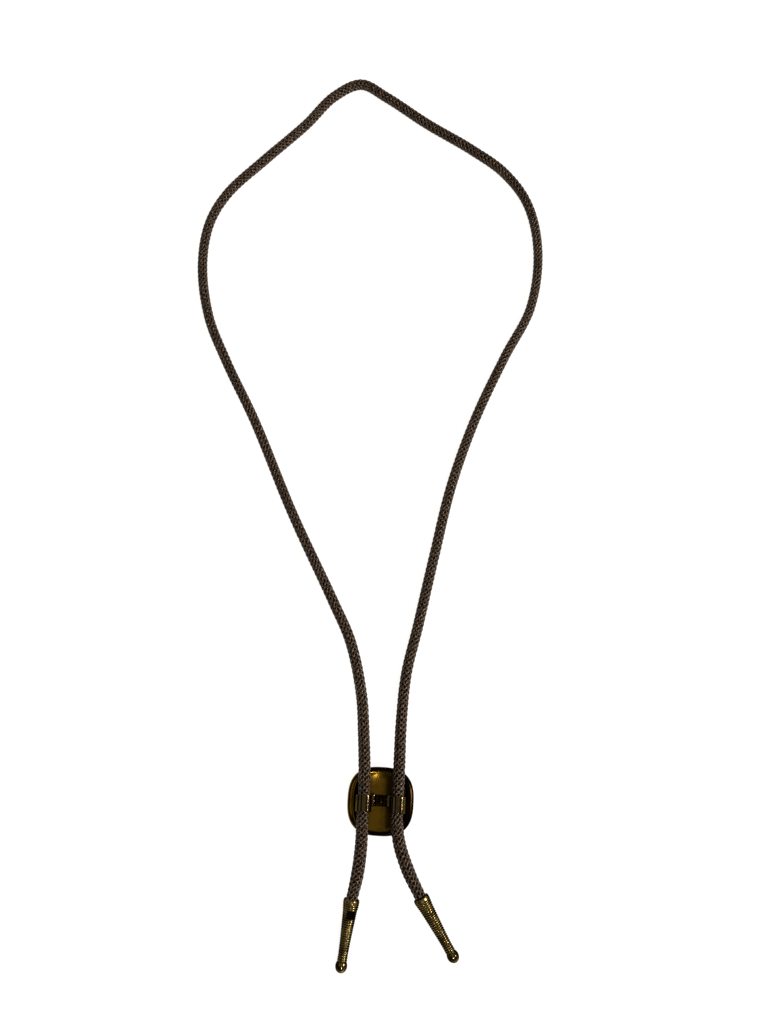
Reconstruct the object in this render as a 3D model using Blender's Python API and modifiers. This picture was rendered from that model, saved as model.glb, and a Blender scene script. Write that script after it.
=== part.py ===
"""Bolo tie with a knitted cord, a stamped brass slide and two ribbed brass tips.

The tie lies on a flat surface at z = 0, on the front of its slide, so its back faces up.
+X is to the right, +Y runs from the slide to the neck end of the loop, +Z is up.
The origin is the middle of the slide's flat front panel. All sizes are in metres.
"""

import math

import bmesh
import bpy
from mathutils import Matrix, Vector

MM = 0.001

# Slide shell: a dished brass stamping with a flat front and a cushion-shaped outline
SLIDE_WIDTH = 0.0294
SLIDE_HEIGHT = 0.0296
SLIDE_DEPTH = 0.0040
SLIDE_WALL = 0.0008
OUTLINE_POWER = 2.7
RIM_BEVEL_SHARE = 0.3

# Clearances between pieces
PIECE_GAP = 0.0003
RIM_CLEARANCE = 0.0004

# Cord: a knitted tube, thinner where it has been drawn out
CORD_DIAMETER = 0.0049
CORD_SWELL_IN_CLIP = 1.06
CORD_SWELL_IN_TIP = 1.02

# Clip: one strip of sheet with a rolled sleeve at each end, and a channel between them
CLIP_SHEET = 0.0007
SLEEVE_SPACING = 0.0150
SLEEVE_LENGTH = 0.0071
SLEEVE_MIDDLE_Y = -0.0012
SLEEVE_WRAP = math.radians(305)
CHANNEL_WIDTH = 0.0047
BRIDGE_LENGTH = 0.0050
BRIDGE_MIDDLE_Y = 0.0003
BEND_RADIUS = 0.0007

# Post: soldered to the shell's floor, its peened head holds the clip
POST_DIAMETER = 0.0016
POST_HEAD_DIAMETER = 0.0028
POST_HEAD_HEIGHT = 0.0007

# Tips: tapered, ribbed, with a ball at the end and a blind mouth for the cord
TIP_LENGTH = 0.0310
TIP_MOUTH_DIAMETER = 0.0070
TIP_BALL_DIAMETER = 0.0051
TIP_BALL_LENGTH = 0.0060
TIP_BORE_DEPTH = 0.0036
TIP_RIB_PITCH = 0.00098
TIP_RIB_DEPTH = 0.00022
CORD_IN_TIP = 0.0030

# Crimp: a flat square pressed into the left tip
CRIMP_LENGTH = 0.0037
CRIMP_WIDTH = 0.0037
CRIMP_DEPTH = 0.0006
CRIMP_START = 0.0042
CRIMP_TURN = math.radians(16)

# How finely curved surfaces are built, in flat sides or steps
SHELL_SIDES = 48
ROUND_SIDES = 16
BEND_STEPS = 3
SLEEVE_STEPS = 18
BALL_STEPS = 7
CORD_BEVEL_RESOLUTION = 4
CORD_POINTS = 79
CURVE_STEPS = 24
MERGE_DISTANCE = 0.00001

# Edges sharper than these angles stay crisp, and the rim's are bevelled
SHEET_CREASE = math.radians(40)
TIP_CREASE = math.radians(60)
RIM_CREASE = math.radians(50)

# Worked out from the sizes above
CORD_REST = CORD_DIAMETER / 2
CLIP_CORD_RADIUS = CORD_REST * CORD_SWELL_IN_CLIP
SLEEVE_RADIUS = CLIP_CORD_RADIUS + PIECE_GAP + CLIP_SHEET / 2
SLEEVE_Z = SLIDE_DEPTH + RIM_CLEARANCE + CLIP_CORD_RADIUS
LIP_Z = SLEEVE_Z - SLEEVE_RADIUS
CHANNEL_Z = SLIDE_WALL + PIECE_GAP + CLIP_SHEET / 2
TIP_BALL_RADIUS = TIP_BALL_DIAMETER / 2
TIP_BORE_RADIUS = CORD_REST * CORD_SWELL_IN_TIP + PIECE_GAP

# The shell's section from the flat front panel out to the rim:
# share of the half width, share of the depth
SHELL_SECTION = [
    (0.48, 0.00),
    (0.60, 0.02),
    (0.70, 0.07),
    (0.80, 0.17),
    (0.88, 0.31),
    (0.94, 0.48),
    (0.98, 0.68),
    (1.00, 1.00),
]

# The post's head from its crown down: share of its radius, share of its height
POST_HEAD_SECTION = [
    (0.0, 1.0),
    (0.6, 0.8),
    (1.0, 0.3),
    (1.0, 0.0),
]

# The tip's outline: share of the length from the mouth, share of the mouth's radius
TIP_OUTLINE = [
    (0.000, 0.940),
    (0.012, 0.980),
    (0.035, 1.000),
    (0.100, 0.940),
    (0.165, 0.860),
    (0.360, 0.757),
    (0.590, 0.636),
    (0.760, 0.583),
    (0.800, 0.600),
    (0.860, 0.675),
]
RIBS_FROM = 0.085
RIBS_TO = 0.835

# The cord's route: x and y in millimetres, then its lift, from 0 where it lies on the
# surface to 1 at the height of the clip's sleeves, then its swell, the share of its diameter
LEFT_TAIL = [
    (-8.4, -31.0, 1.05, 1.14),
    (-7.5, -20.0, 1.03, 1.12),
    (-7.5, -8.0, 1.00, 1.06),
    (-7.5, 6.0, 1.00, 1.06),
]
NECK_LOOP = [
    (-8.0, 16.0, 1.00, 1.10),
    (-9.0, 28.0, 0.86, 1.08),
    (-11.1, 46.0, 0.50, 1.05),
    (-17.6, 70.0, 0.00, 1.02),
    (-26.9, 88.6, 0.00, 1.00),
    (-48.9, 129.6, 0.00, 0.96),
    (-70.9, 175.4, 0.00, 0.96),
    (-87.6, 206.0, 0.00, 0.98),
    (-99.0, 230.6, 0.00, 0.99),
    (-104.8, 259.0, 0.00, 0.99),
    (-103.3, 282.5, 0.00, 1.00),
    (-95.7, 299.9, 0.00, 1.01),
    (-77.5, 321.4, 0.00, 1.04),
    (-58.1, 342.8, 0.00, 1.04),
    (-43.8, 361.4, 0.00, 1.06),
    (-30.0, 369.4, 0.00, 1.09),
    (-15.9, 362.1, 0.00, 1.07),
    (6.2, 347.1, 0.00, 1.06),
    (30.5, 332.5, 0.00, 1.06),
    (47.6, 319.8, 0.00, 1.05),
    (60.0, 302.6, 0.00, 0.99),
    (66.0, 276.0, 0.00, 0.95),
    (62.9, 243.7, 0.00, 0.93),
    (50.4, 215.8, 0.00, 0.95),
    (36.6, 181.9, 0.00, 0.97),
    (26.2, 147.5, 0.00, 0.98),
    (19.4, 112.8, 0.00, 1.00),
    (13.2, 79.1, 0.08, 1.01),
    (8.8, 56.5, 0.35, 1.02),
    (7.5, 35.0, 0.78, 1.05),
]
RIGHT_TAIL = [
    (7.5, 16.0, 1.00, 1.10),
    (7.5, 4.0, 1.00, 1.06),
    (7.5, -7.0, 1.00, 1.06),
    (9.1, -17.2, 1.03, 1.15),
    (13.4, -28.2, 1.05, 1.18),
]

# Where each tip's mouth is, x and y in millimetres, and its heading from -Y towards +X
LEFT_MOUTH = (-10.2, -41.0)
LEFT_HEADING = math.radians(-6.2)
RIGHT_MOUTH = (19.3, -38.8)
RIGHT_HEADING = math.radians(32.8)


def clear_scene():
    for item in list(bpy.data.objects):
        bpy.data.objects.remove(item, do_unlink=True)


def new_collection(name):
    group = bpy.data.collections.new(name)
    bpy.context.scene.collection.children.link(group)
    return group


def new_material(name, color, roughness, metallic):
    material = bpy.data.materials.new(name)
    material.use_nodes = True
    shader = material.node_tree.nodes["Principled BSDF"]
    shader.inputs["Base Color"].default_value = (*color, 1.0)
    shader.inputs["Roughness"].default_value = roughness
    shader.inputs["Metallic"].default_value = metallic
    material.diffuse_color = (*color, 1.0)
    return material


def new_object(name, data, group, material=None):
    item = bpy.data.objects.new(name, data)
    group.objects.link(item)
    if material:
        data.materials.append(material)
    return item


def make_cutter(item):
    item.hide_render = True
    item.display_type = "WIRE"


def mesh_from_bmesh(name, bm):
    mesh = bpy.data.meshes.new(name)
    bm.to_mesh(mesh)
    bm.free()
    return mesh


def shade_round(mesh, angle):
    mesh.shade_smooth()
    mesh.set_sharp_from_angle(angle=angle)


def add_boolean(item, cutter, operation):
    modifier = item.modifiers.new(cutter.name, "BOOLEAN")
    modifier.operation = operation
    modifier.object = cutter
    modifier.solver = "EXACT"


def signed_power(value, power):
    return math.copysign(abs(value) ** power, value)


def cushion_ring(bm, share, z):
    """One ring of the slide's cushion outline, a superellipse, at a share of its size."""
    ring = []
    for i in range(SHELL_SIDES):
        angle = 2 * math.pi * i / SHELL_SIDES
        x = signed_power(math.cos(angle), 2 / OUTLINE_POWER) * SLIDE_WIDTH / 2 * share
        y = signed_power(math.sin(angle), 2 / OUTLINE_POWER) * SLIDE_HEIGHT / 2 * share
        ring.append(bm.verts.new((x, y, z)))
    return ring


def turned_object(name, profile, group, material=None):
    """A profile of (radius, z) turned about Z. It runs down the shape's outer side."""
    bm = bmesh.new()
    points = [bm.verts.new((radius, 0.0, z)) for radius, z in profile]
    for start, end in zip(points, points[1:]):
        bm.edges.new((start, end))
    item = new_object(name, mesh_from_bmesh(name, bm), group, material)
    screw = item.modifiers.new("turn", "SCREW")
    screw.steps = ROUND_SIDES
    screw.render_steps = ROUND_SIDES
    screw.use_merge_vertices = True
    screw.merge_threshold = MERGE_DISTANCE
    screw.use_smooth_shade = True
    return item


def make_shell(group, cutters, material):
    """The stamped shell, with the clip's post soldered to the middle of its floor."""
    bm = bmesh.new()
    rings = [cushion_ring(bm, share, SLIDE_DEPTH * rise) for share, rise in SHELL_SECTION]
    bm.faces.new(list(reversed(rings[0])))
    for inner, outer in zip(rings, rings[1:]):
        for i in range(SHELL_SIDES):
            after = (i + 1) % SHELL_SIDES
            bm.faces.new((inner[i], inner[after], outer[after], outer[i]))
    shell = new_object("slide_shell", mesh_from_bmesh("slide_shell", bm), group, material)

    wall = shell.modifiers.new("wall", "SOLIDIFY")
    wall.thickness = SLIDE_WALL
    wall.offset = -1.0
    wall.use_even_offset = True
    edge = shell.modifiers.new("rim", "BEVEL")
    edge.width = SLIDE_WALL * RIM_BEVEL_SHARE
    edge.segments = 1
    edge.limit_method = "ANGLE"
    edge.angle_limit = RIM_CREASE

    head_base = CHANNEL_Z + CLIP_SHEET / 2 + PIECE_GAP
    profile = [(POST_HEAD_DIAMETER / 2 * wide, head_base + POST_HEAD_HEIGHT * rise)
               for wide, rise in POST_HEAD_SECTION]
    profile += [(POST_DIAMETER / 2, head_base), (POST_DIAMETER / 2, SLIDE_WALL / 2),
                (0.0, SLIDE_WALL / 2)]
    post = turned_object("post", profile, cutters)
    post.location = (0.0, BRIDGE_MIDDLE_Y, 0.0)
    make_cutter(post)
    add_boolean(shell, post, "UNION")
    shade_round(shell.data, SHEET_CREASE)
    return shell


def arc(center_x, center_z, radius, start, end, steps):
    """Points along an arc in the XZ plane, both ends included."""
    angles = [start + (end - start) * i / steps for i in range(steps + 1)]
    return [(center_x + radius * math.cos(a), center_z + radius * math.sin(a)) for a in angles]


def clip_section():
    """Half of the clip's strip, from the channel's middle to the sleeve's free edge."""
    wall_x = CHANNEL_WIDTH / 2 + CLIP_SHEET / 2
    hole_x = POST_DIAMETER / 2 + CLIP_SHEET
    floor_bend = arc(wall_x - BEND_RADIUS, CHANNEL_Z + BEND_RADIUS, BEND_RADIUS,
                     -math.pi / 2, 0.0, BEND_STEPS)
    lip_bend = arc(wall_x + BEND_RADIUS, LIP_Z - BEND_RADIUS, BEND_RADIUS,
                   math.pi, math.pi / 2, BEND_STEPS)
    sleeve = arc(SLEEVE_SPACING / 2, SLEEVE_Z, SLEEVE_RADIUS,
                 -math.pi / 2, -math.pi / 2 + SLEEVE_WRAP, SLEEVE_STEPS)
    step_x = SLEEVE_SPACING / 2 - SLEEVE_RADIUS
    before = [(0.0, CHANNEL_Z), (hole_x, CHANNEL_Z)] + floor_bend + lip_bend
    return before, [(step_x, LIP_Z)] + sleeve


def make_clip(group, cutters, material):
    """The clip: its bridge and its sleeves reach over different lengths of the same strip."""
    bridge, sleeve = clip_section()
    rows = [
        SLEEVE_MIDDLE_Y - SLEEVE_LENGTH / 2,
        BRIDGE_MIDDLE_Y - BRIDGE_LENGTH / 2,
        SLEEVE_MIDDLE_Y + SLEEVE_LENGTH / 2,
        BRIDGE_MIDDLE_Y + BRIDGE_LENGTH / 2,
    ]
    section = bridge + sleeve
    bm = bmesh.new()
    grid = [[bm.verts.new((x, y, z)) for y in rows] for x, z in section]
    for column in range(len(section) - 1):
        first = 1 if column < len(bridge) else 0
        for row in (first, first + 1):
            bm.faces.new((grid[column][row], grid[column + 1][row],
                          grid[column + 1][row + 1], grid[column][row + 1]))
    loose = [vert for vert in bm.verts if not vert.link_faces]
    bmesh.ops.delete(bm, geom=loose, context="VERTS")
    clip = new_object("cord_clip", mesh_from_bmesh("cord_clip", bm), group, material)

    mirror = clip.modifiers.new("mirror", "MIRROR")
    mirror.merge_threshold = MERGE_DISTANCE
    sheet = clip.modifiers.new("sheet", "SOLIDIFY")
    sheet.thickness = CLIP_SHEET
    sheet.offset = 0.0
    sheet.use_even_offset = True

    hole_radius = POST_DIAMETER / 2 + PIECE_GAP
    profile = [(0.0, LIP_Z), (hole_radius, LIP_Z), (hole_radius, 0.0), (0.0, 0.0)]
    hole = turned_object("post_hole", profile, cutters)
    hole.location = (0.0, BRIDGE_MIDDLE_Y, 0.0)
    make_cutter(hole)
    add_boolean(clip, hole, "DIFFERENCE")
    shade_round(clip.data, SHEET_CREASE)
    return clip


def tip_radius(share):
    """The tip's smooth outer radius, read from its outline at a share of its length."""
    rows = TIP_OUTLINE
    for (start, wide), (end, narrow) in zip(rows, rows[1:]):
        if share <= end:
            blend = (share - start) / (end - start)
            return (wide + (narrow - wide) * blend) * TIP_MOUTH_DIAMETER / 2
    return rows[-1][1] * TIP_MOUTH_DIAMETER / 2


def tip_profile():
    """Bore, mouth rim, ribs and ball. The mouth is at z = 0 and the ball hangs below it."""
    profile = [(0.0, -TIP_BORE_DEPTH), (TIP_BORE_RADIUS, -TIP_BORE_DEPTH),
               (TIP_BORE_RADIUS, -TIP_RIB_DEPTH), (TIP_BORE_RADIUS + TIP_RIB_DEPTH, 0.0)]
    for share, wide in TIP_OUTLINE:
        if share < RIBS_FROM:
            profile.append((wide * TIP_MOUTH_DIAMETER / 2, -share * TIP_LENGTH))
    ribs = round((RIBS_TO - RIBS_FROM) * TIP_LENGTH / TIP_RIB_PITCH)
    for i in range(ribs):
        valley = RIBS_FROM + (RIBS_TO - RIBS_FROM) * i / ribs
        crest = valley + (RIBS_TO - RIBS_FROM) * 0.5 / ribs
        profile.append((tip_radius(valley) - TIP_RIB_DEPTH, -valley * TIP_LENGTH))
        profile.append((tip_radius(crest), -crest * TIP_LENGTH))
    profile.append((tip_radius(RIBS_TO) - TIP_RIB_DEPTH, -RIBS_TO * TIP_LENGTH))
    ball_z = -(TIP_LENGTH - TIP_BALL_LENGTH / 2)
    neck_angle = math.asin(min(tip_radius(1.0) / TIP_BALL_RADIUS, 1.0))
    for i in range(BALL_STEPS + 1):
        angle = neck_angle + (math.pi - neck_angle) * i / BALL_STEPS
        radius = TIP_BALL_RADIUS * math.sin(angle) if i < BALL_STEPS else 0.0
        profile.append((radius, ball_z + TIP_BALL_LENGTH / 2 * math.cos(angle)))
    return profile


def tip_slope():
    """How far a tip leans down from its mouth, held by the cord, to its resting ball."""
    reach = TIP_LENGTH - TIP_BALL_LENGTH / 2
    lean = math.asin((SLEEVE_Z - TIP_BALL_RADIUS) / reach)
    ball_rest = math.hypot(TIP_BALL_RADIUS * math.cos(lean), TIP_BALL_LENGTH / 2 * math.sin(lean))
    return math.asin((SLEEVE_Z - ball_rest) / reach)


def place_tip(item, mouth, heading):
    item.location = (mouth[0] * MM, mouth[1] * MM, SLEEVE_Z)
    item.rotation_euler = (tip_slope() - math.pi / 2, 0.0, heading)


def make_tip(name, mouth, heading, group, material):
    tip = turned_object(name, tip_profile(), group, material)
    place_tip(tip, mouth, heading)
    shade_round(tip.data, TIP_CREASE)
    return tip


def crimp_tip(tip, mouth, heading, cutters):
    """Press a flat square into the upper side of a tip, a little to the right."""
    middle = CRIMP_START + CRIMP_LENGTH / 2
    floor = tip_radius(middle / TIP_LENGTH) - CRIMP_DEPTH
    block_height = TIP_MOUTH_DIAMETER
    bm = bmesh.new()
    bmesh.ops.create_cube(bm, size=1.0)
    bmesh.ops.scale(bm, verts=bm.verts, vec=(CRIMP_WIDTH, block_height, CRIMP_LENGTH))
    bmesh.ops.translate(bm, verts=bm.verts, vec=(0.0, -floor - block_height / 2, -middle))
    turn = Matrix.Rotation(CRIMP_TURN, 3, "Z")
    bmesh.ops.rotate(bm, verts=bm.verts, cent=(0.0, 0.0, 0.0), matrix=turn)
    block = new_object("crimp_cutter", mesh_from_bmesh("crimp_cutter", bm), cutters)
    place_tip(block, mouth, heading)
    make_cutter(block)
    add_boolean(tip, block, "DIFFERENCE")


def route_row(row):
    """A route row as a point in metres, and the cord's swell there."""
    x, y, lift, swell = row
    rest = CORD_REST * swell
    return Vector((x * MM, y * MM, rest + lift * (SLEEVE_Z - rest))), swell


def inside_tip(mouth, heading, depth):
    """A point on a tip's axis, at a depth below its mouth."""
    slope = tip_slope()
    axis = Vector((math.sin(heading) * math.cos(slope),
                   -math.cos(heading) * math.cos(slope), -math.sin(slope)))
    return Vector((mouth[0] * MM, mouth[1] * MM, SLEEVE_Z)) + axis * depth


def route_stations():
    """The route from the left tip's mouth round the neck to the right tip's mouth."""
    left = (inside_tip(LEFT_MOUTH, LEFT_HEADING, 0.0), CORD_SWELL_IN_TIP)
    right = (inside_tip(RIGHT_MOUTH, RIGHT_HEADING, 0.0), CORD_SWELL_IN_TIP)
    return [left] + [route_row(row) for row in LEFT_TAIL + NECK_LOOP + RIGHT_TAIL] + [right]


def smooth_route(stations):
    """A Catmull-Rom curve through the stations, with knots spaced by the root of distance."""
    points = [point for point, _ in stations]
    ends = [points[0] * 2 - points[1]] + points + [points[-1] * 2 - points[-2]]
    fine = []
    for i in range(len(points) - 1):
        p0, p1, p2, p3 = ends[i:i + 4]
        t1 = math.sqrt((p1 - p0).length)
        t2 = t1 + math.sqrt((p2 - p1).length)
        t3 = t2 + math.sqrt((p3 - p2).length)
        for k in range(CURVE_STEPS):
            share = k / CURVE_STEPS
            t = t1 + (t2 - t1) * share
            a1 = p0.lerp(p1, t / t1)
            a2 = p1.lerp(p2, (t - t1) / (t2 - t1))
            a3 = p2.lerp(p3, (t - t2) / (t3 - t2))
            b1 = a1.lerp(a2, t / t2)
            b2 = a2.lerp(a3, (t - t1) / (t3 - t1))
            swell = stations[i][1] + (stations[i + 1][1] - stations[i][1]) * share
            fine.append((b1.lerp(b2, share), swell))
    fine.append(stations[-1])
    return fine


def even_route(fine, count):
    """The same curve read at evenly spaced points, none lower than the cord can rest."""
    lengths = [0.0]
    for (start, _), (end, _) in zip(fine, fine[1:]):
        lengths.append(lengths[-1] + (end - start).length)
    route = []
    k = 0
    for i in range(count):
        target = lengths[-1] * i / (count - 1)
        while k < len(fine) - 2 and lengths[k + 1] < target:
            k += 1
        share = (target - lengths[k]) / (lengths[k + 1] - lengths[k])
        point = fine[k][0].lerp(fine[k + 1][0], share)
        swell = fine[k][1] + (fine[k + 1][1] - fine[k][1]) * share
        point.z = max(point.z, CORD_REST * swell)
        route.append((point, swell))
    return route


def make_cord(group, material):
    left_end = (inside_tip(LEFT_MOUTH, LEFT_HEADING, CORD_IN_TIP), CORD_SWELL_IN_TIP)
    right_end = (inside_tip(RIGHT_MOUTH, RIGHT_HEADING, CORD_IN_TIP), CORD_SWELL_IN_TIP)
    between = even_route(smooth_route(route_stations()), CORD_POINTS - 2)
    route = [left_end] + between + [right_end]
    curve = bpy.data.curves.new("cord", "CURVE")
    curve.dimensions = "3D"
    curve.bevel_depth = CORD_REST
    curve.bevel_resolution = CORD_BEVEL_RESOLUTION
    curve.use_fill_caps = True
    spline = curve.splines.new("POLY")
    spline.points.add(len(route) - 1)
    for knot, (point, swell) in zip(spline.points, route):
        knot.co = (*point, 1.0)
        knot.radius = swell
    return new_object("cord", curve, group, material)


def main():
    clear_scene()
    parts = new_collection("bolo_tie")
    cutters = new_collection("bolo_tie_cutters")
    brass = new_material("aged_brass", (0.16, 0.10, 0.025), 0.35, 1.0)
    clip_brass = new_material("dark_brass", (0.11, 0.07, 0.03), 0.35, 1.0)
    tip_brass = new_material("tip_brass", (0.17, 0.12, 0.045), 0.3, 1.0)
    knit = new_material("brown_knit", (0.045, 0.03, 0.024), 0.6, 0.0)

    make_shell(parts, cutters, brass)
    make_clip(parts, cutters, clip_brass)
    left = make_tip("tip_left", LEFT_MOUTH, LEFT_HEADING, parts, tip_brass)
    crimp_tip(left, LEFT_MOUTH, LEFT_HEADING, cutters)
    make_tip("tip_right", RIGHT_MOUTH, RIGHT_HEADING, parts, tip_brass)
    make_cord(parts, knit)


main()
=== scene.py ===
import math

import bpy
import numpy as np
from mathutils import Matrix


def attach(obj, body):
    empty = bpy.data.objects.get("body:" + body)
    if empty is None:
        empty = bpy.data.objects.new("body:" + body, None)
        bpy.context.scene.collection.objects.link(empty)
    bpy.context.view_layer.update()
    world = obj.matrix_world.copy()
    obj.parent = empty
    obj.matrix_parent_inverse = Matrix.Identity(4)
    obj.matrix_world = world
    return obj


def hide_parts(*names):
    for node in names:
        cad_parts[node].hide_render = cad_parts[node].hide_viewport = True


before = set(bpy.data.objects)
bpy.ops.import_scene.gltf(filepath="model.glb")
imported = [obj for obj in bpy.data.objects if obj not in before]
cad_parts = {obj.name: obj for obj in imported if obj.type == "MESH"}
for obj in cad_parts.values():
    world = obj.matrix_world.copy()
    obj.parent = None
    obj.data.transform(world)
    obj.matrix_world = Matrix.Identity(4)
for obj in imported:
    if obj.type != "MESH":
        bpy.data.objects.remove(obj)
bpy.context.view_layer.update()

mm = 0.001
print("frame loaded:", sorted(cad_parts))


# Helpers for lines and meshes

def smoothStep(value, start, end):
    # 0 before start and 1 after end; between them t is the share of the way, and the result is
    # three times its square less twice its cube
    t = np.clip((value - start) / (end - start), 0, 1)
    return t * t * (3 - 2 * t)


def unit(vectors):
    # each vector divided by its own length
    return vectors / np.linalg.norm(vectors, axis=-1, keepdims=True)


def distances(line):
    # how far along the line each of its points lies: the sum of the gaps before it
    return np.concatenate([[0], np.cumsum(np.linalg.norm(np.diff(line, axis=0), axis=1))])


def readLine(table, places, wanted):
    # a table whose rows stand at places, read between its rows at the wanted places
    return np.stack([np.interp(wanted, places, column) for column in table.T], axis=-1)


def gridMesh(name, points, material, along=None, oxideAndShade=None):
    # points[i, j] is row i, column j. Quads join neighbours, the last column joins the first, and
    # a many-sided face closes the first and the last row. In the surface map u goes once round,
    # and v is the share of the rows or, with along, the distance in metres
    rows, columns = points.shape[:2]
    index = np.arange(rows * columns).reshape(rows, columns)
    nextIndex = np.roll(index, -1, axis=1)
    quads = np.stack([index[:-1], nextIndex[:-1], nextIndex[1:], index[1:]], axis=-1).reshape(-1, 4)
    loops, starts = quads.ravel(), np.arange(len(quads)) * 4
    u = np.arange(columns + 1) / columns
    v = np.arange(rows) / (rows - 1) if along is None else along
    quadU = np.stack([u[:-1], u[1:], u[1:], u[:-1]], axis=-1)
    quadV = np.stack([v[:-1], v[:-1], v[1:], v[1:]], axis=-1)[:, None]
    uv = np.stack(np.broadcast_arrays(quadU[None], quadV), axis=-1).reshape(-1, 2)
    for ring, place in ((index[0][::-1], v[0]), (index[-1], v[-1])):
        starts = np.append(starts, len(loops))
        loops = np.append(loops, ring)
        uv = np.vstack([uv, np.stack([u[:-1], np.full(columns, place)], axis=-1)])
    mesh = bpy.data.meshes.new(name)
    mesh.vertices.add(rows * columns)
    mesh.vertices.foreach_set("co", points.reshape(-1).astype(np.float32))
    mesh.loops.add(len(loops))
    mesh.loops.foreach_set("vertex_index", loops.astype(np.int32))
    mesh.polygons.add(len(starts))
    mesh.polygons.foreach_set("loop_start", starts.astype(np.int32))
    mesh.polygons.foreach_set("use_smooth", np.ones(len(starts), bool))
    mesh.uv_layers.new(name="surface").data.foreach_set("uv", uv.reshape(-1).astype(np.float32))
    if oxideAndShade is not None:
        dirt = mesh.attributes.new("oxideAndShade", "FLOAT", "POINT").data
        dirt.foreach_set("value", oxideAndShade.reshape(-1).astype(np.float32))
    mesh.update(calc_edges=True)
    mesh.validate()
    mesh.materials.append(material)
    piece = bpy.data.objects.new(name, mesh)
    bpy.context.scene.collection.objects.link(piece)
    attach(piece, "root")
    return piece


# Helpers for materials

def linearColor(code):
    # an sRGB share is divided by 12.92 up to 0.04045; above that 0.055 is added, the sum divided
    # by 1.055 and raised to the power 2.4
    shares = [int(code[i:i + 2], 16) / 255 for i in (1, 3, 5)]
    return tuple(c / 12.92 if c <= 0.04045 else ((c + 0.055) / 1.055) ** 2.4 for c in shares) + (1.0,)


def addNode(tree, kind, inputs=None, stops=None, **settings):
    # inputs are socket values or other nodes' outputs, stops are a ramp's places and colours,
    # and settings are the node's own fields
    node = tree.nodes.new(kind)
    for field, value in settings.items():
        setattr(node, field, value)
    for socket, value in (inputs or {}).items():
        if isinstance(value, bpy.types.NodeSocket):
            tree.links.new(value, node.inputs[socket])
        else:
            node.inputs[socket].default_value = value
    if stops:
        elements = node.color_ramp.elements
        while len(elements) < len(stops):
            elements.new(0.5)  # it moves to its own place below
        for element, (place, color) in zip(elements, stops):
            element.position = place
            element.color = color
    return node


def newMaterial(name):
    material = bpy.data.materials.new(name)
    material.use_nodes = True
    tree = material.node_tree
    return material, tree, tree.nodes["Principled BSDF"]


# Camera, as the photograph was taken, with the neck end farther away

cameraSettings = {
    "place": (0.00122, 0.00570, 0.4778),
    "tilt": 15.0,  # degrees from straight down
    "turn": 3.0,
    "lens": 24.154,  # mm, for a frame 24 mm high
    "frameHeight": 24.0,
    "nearest": 0.01,
}


def makeCamera(s):
    data = bpy.data.cameras.new("camera")
    data.sensor_fit = "VERTICAL"
    data.sensor_height = s["frameHeight"]
    data.lens = s["lens"]
    data.clip_start = s["nearest"]
    camera = bpy.data.objects.new("camera", data)
    camera.location = s["place"]
    camera.rotation_euler = (math.radians(s["tilt"]), 0.0, math.radians(s["turn"]))
    bpy.context.scene.collection.objects.link(camera)
    bpy.context.scene.camera = camera


makeCamera(cameraSettings)
bpy.context.scene.view_settings.view_transform = "Standard"


# Cord: its route, a dark core, and the knitted jacket round it

cordSettings = {
    "diameter": 4.9 * mm,
    "swellInTip": 1.02,
    "insideTip": 3.0 * mm,
    "mouthHeight": 6.997 * mm,  # the height of the clip's sleeves and of the tips' mouths
    "tipSlope": 9.11,  # degrees, down from the mouth to the ball
    "leftMouth": (-0.0102, -0.0410, -6.2),  # x, y, heading in degrees from -Y towards +X
    "rightMouth": (0.0193, -0.0388, 32.8),
    "spanSteps": 40,
    "directionSteps": 1900,
    "coreShare": 0.74,  # the core's radius as a share of the cord's
    "coreRings": 700,
    "coreSides": 16,
}

# x and y, then how high it runs from lying (0) to the sleeves' height (1), then the diameter's swell
cordRoute = np.array([
    (-0.0084, -0.0310, 1.05, 1.14), (-0.0075, -0.0200, 1.03, 1.12), (-0.0075, -0.0080, 1.00, 1.06),
    (-0.0075, 0.0060, 1.00, 1.06), (-0.0080, 0.0160, 1.00, 1.10), (-0.0090, 0.0280, 0.86, 1.08),
    (-0.0111, 0.0460, 0.50, 1.05), (-0.0176, 0.0700, 0.00, 1.02), (-0.0269, 0.0886, 0.00, 1.00),
    (-0.0489, 0.1296, 0.00, 0.96), (-0.0709, 0.1754, 0.00, 0.96), (-0.0876, 0.2060, 0.00, 0.98),
    (-0.0990, 0.2306, 0.00, 0.99), (-0.1048, 0.2590, 0.00, 0.99), (-0.1033, 0.2825, 0.00, 1.00),
    (-0.0957, 0.2999, 0.00, 1.01), (-0.0775, 0.3214, 0.00, 1.04), (-0.0581, 0.3428, 0.00, 1.04),
    (-0.0438, 0.3614, 0.00, 1.06), (-0.0300, 0.3694, 0.00, 1.09), (-0.0159, 0.3621, 0.00, 1.07),
    (0.0062, 0.3471, 0.00, 1.06), (0.0305, 0.3325, 0.00, 1.06), (0.0476, 0.3198, 0.00, 1.05),
    (0.0600, 0.3026, 0.00, 0.99), (0.0660, 0.2760, 0.00, 0.95), (0.0629, 0.2437, 0.00, 0.93),
    (0.0504, 0.2158, 0.00, 0.95), (0.0366, 0.1819, 0.00, 0.97), (0.0262, 0.1475, 0.00, 0.98),
    (0.0194, 0.1128, 0.00, 1.00), (0.0132, 0.0791, 0.08, 1.01), (0.0088, 0.0565, 0.35, 1.02),
    (0.0075, 0.0350, 0.78, 1.05), (0.0075, 0.0160, 1.00, 1.10), (0.0075, 0.0040, 1.00, 1.06),
    (0.0075, -0.0070, 1.00, 1.06), (0.0091, -0.0172, 1.03, 1.15), (0.0134, -0.0282, 1.05, 1.18),
])


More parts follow.
